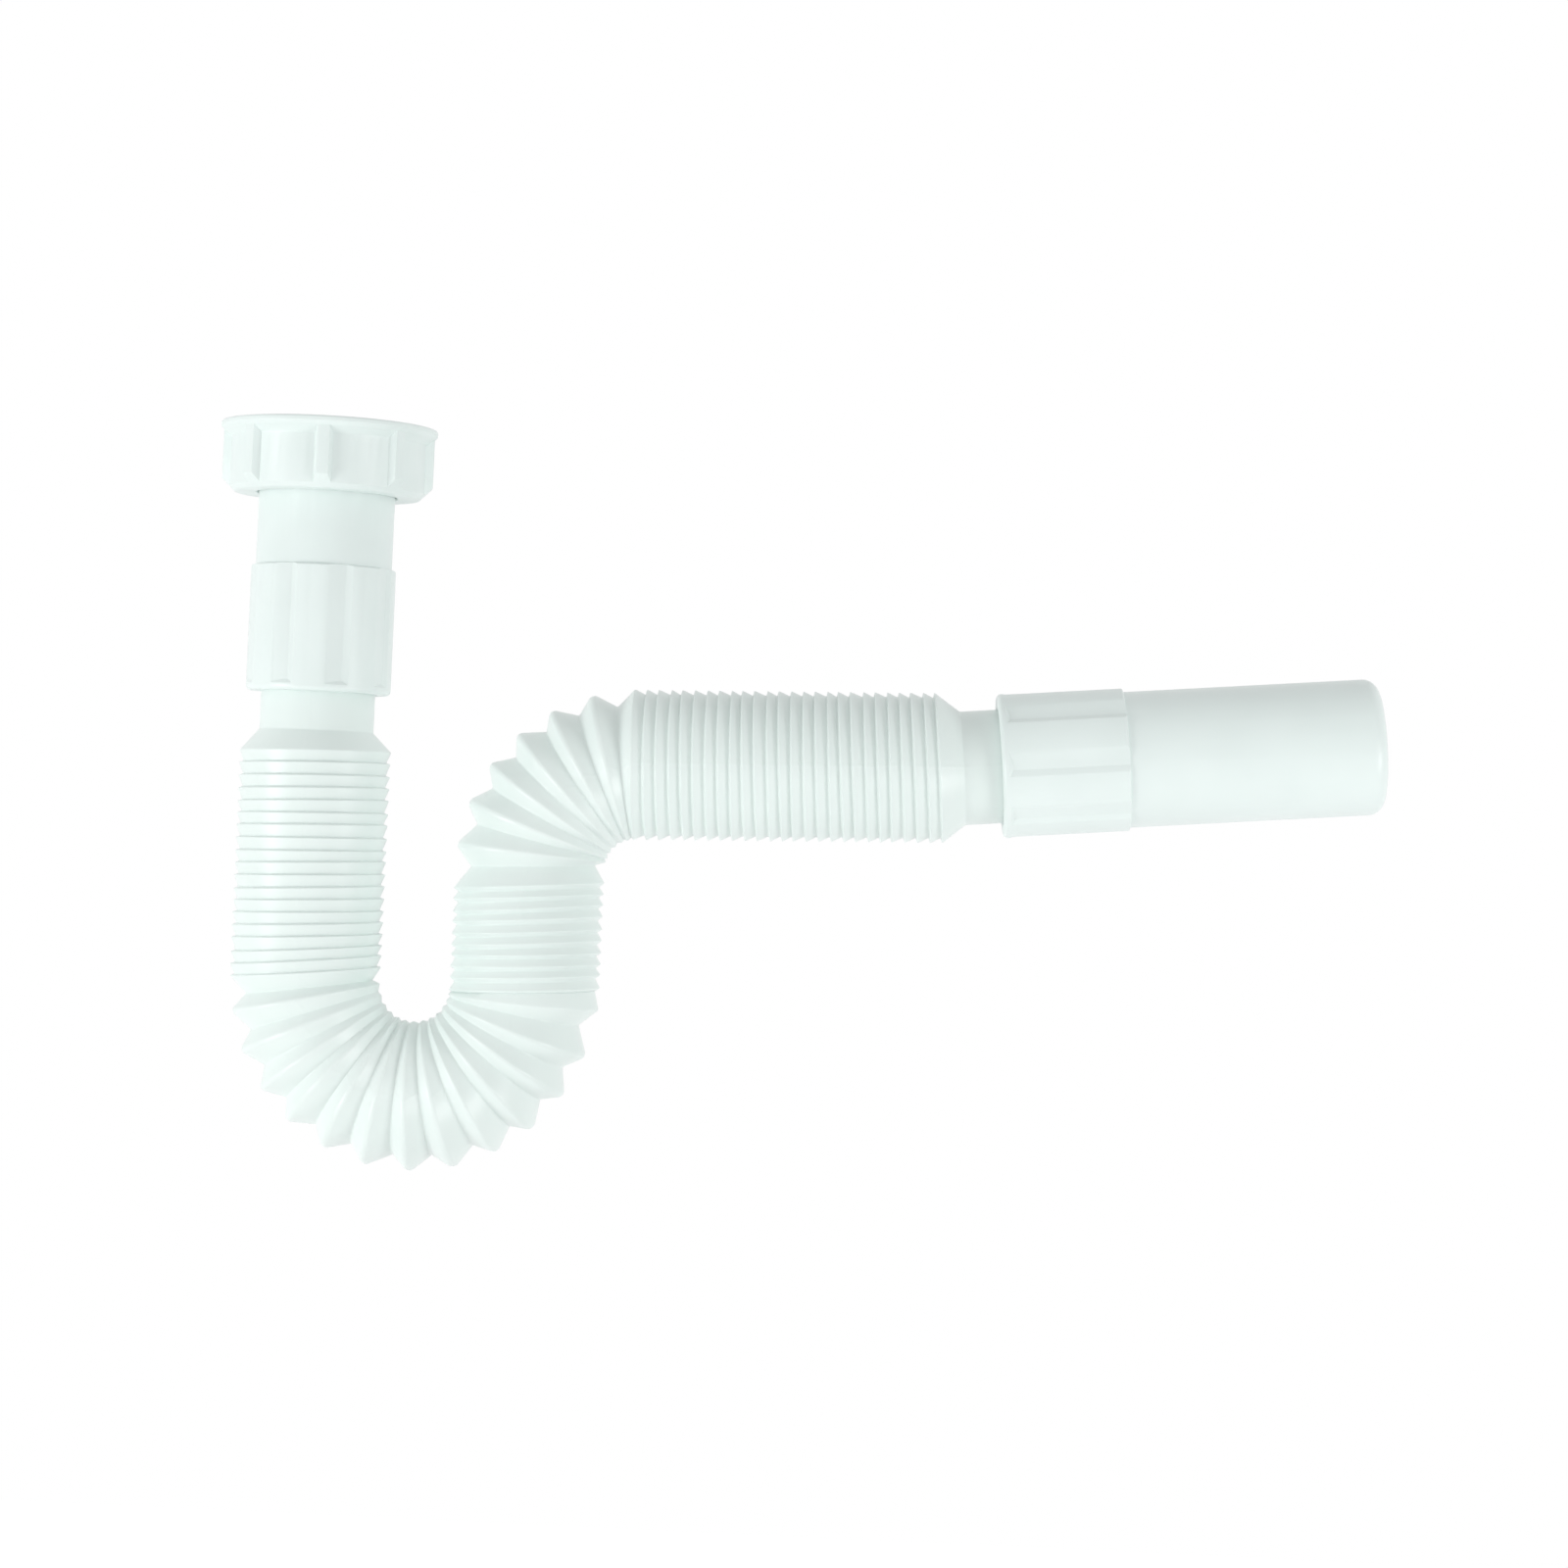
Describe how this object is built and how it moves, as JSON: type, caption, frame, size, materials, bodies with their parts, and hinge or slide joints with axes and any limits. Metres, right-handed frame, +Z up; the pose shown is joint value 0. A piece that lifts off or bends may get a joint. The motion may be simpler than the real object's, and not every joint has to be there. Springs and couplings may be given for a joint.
{
  "type": "flexible waste trap",
  "caption": "Flexible bellows waste trap for a basin, with a ribbed union nut at the inlet, a U-bend water seal and a plain push-in outlet spigot.",
  "frame": {"origin": "centre of the union nut's mouth, on the inlet axis", "axes": "+Z up out of the nut's mouth along the inlet, +X towards the outlet, so the bends lie in the XZ plane and the front is -Y"},
  "size_m": [0.2775, 0.051, 0.1752],
  "materials": {
    "nut_plastic": "moulded white polypropylene, satin gloss",
    "fitting_plastic": "moulded white polypropylene, satin gloss",
    "bellows_plastic": "blow-moulded white polypropylene, satin gloss",
    "washer_rubber": "matt black rubber"
  },
  "bodies": {
    "inlet": {"inlet_tailpiece": "fitting_plastic", "sealing_washer": "washer_rubber"},
    "nut": {"union_nut": "nut_plastic"},
    "hose": {"bellows_hose": "bellows_plastic"},
    "outlet": {"outlet_spigot": "fitting_plastic"}
  },
  "joints": [
    {"name": "nut_spin", "type": "hinge", "parent": "inlet", "child": "nut", "pos_m": [0, 0, 0], "axis": [0, 0, 1], "continuous": true},
    {"name": "leg_extend", "type": "slide", "parent": "inlet", "child": "hose", "axis": [0, 0, -1], "range_m": [0, 0.1], "deforming": ["bellows_hose"]},
    {"name": "run_extend", "type": "slide", "parent": "hose", "child": "outlet", "axis": [0.9955, 0, 0.095], "range_m": [0, 0.14], "deforming": ["bellows_hose"]}
  ]
}
